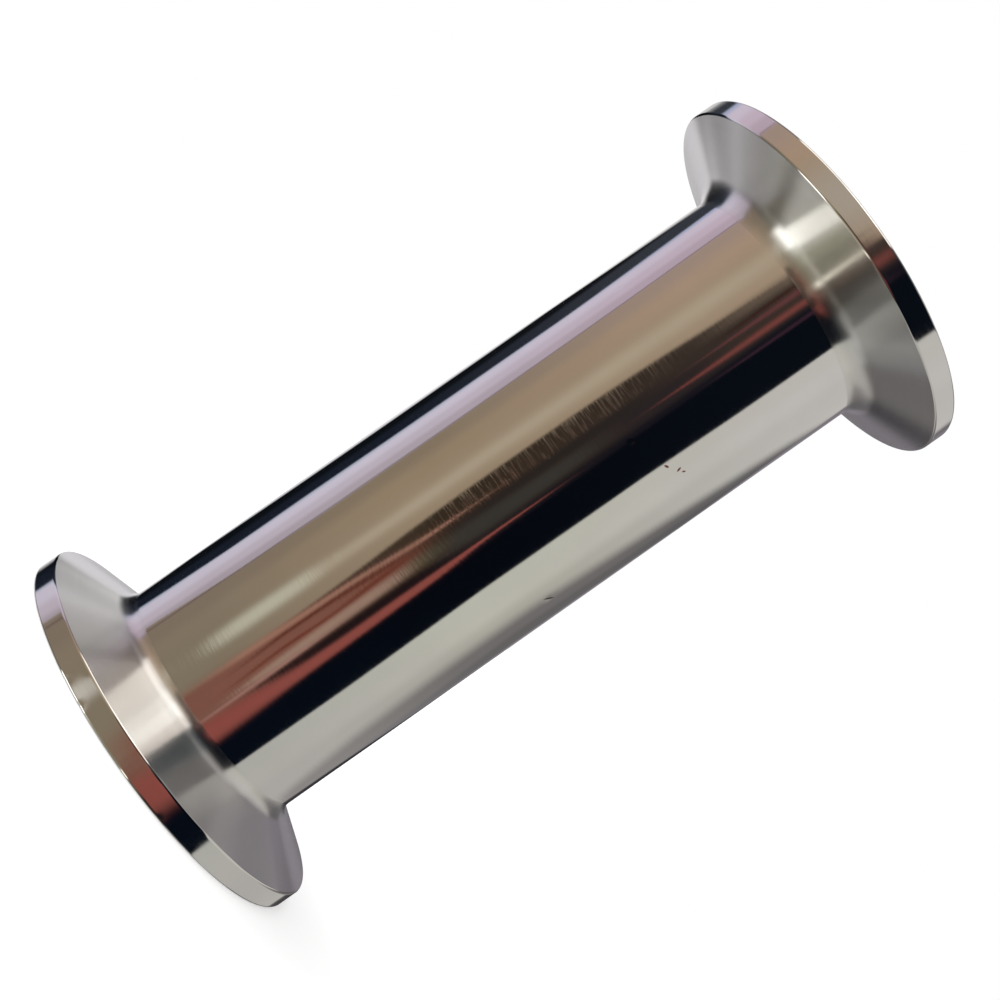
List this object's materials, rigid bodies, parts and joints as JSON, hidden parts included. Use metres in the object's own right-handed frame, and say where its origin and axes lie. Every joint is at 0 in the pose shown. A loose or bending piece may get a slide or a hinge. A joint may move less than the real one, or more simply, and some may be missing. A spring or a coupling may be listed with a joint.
{
  "type": "sanitary spool pipe",
  "caption": "Straight polished stainless tube with a tapered clamp ferrule at each end, a spacer that joins two sanitary process lines with gaskets and clamps.",
  "frame": {"origin": "centre of the lower ferrule's sealing face, on the axis of the bore, where the spool stands", "axes": "+Z along the bore from the lower sealing face to the upper one; X and Y are free, because the part is round"},
  "size_m": [0.0505, 0.0504, 0.1],
  "materials": {
    "polished_stainless": "tube and rims mirror polished, ferrule backs and sealing faces finely turned to a satin"
  },
  "bodies": {
    "root": {"spool": "polished_stainless"}
  },
  "joints": []
}
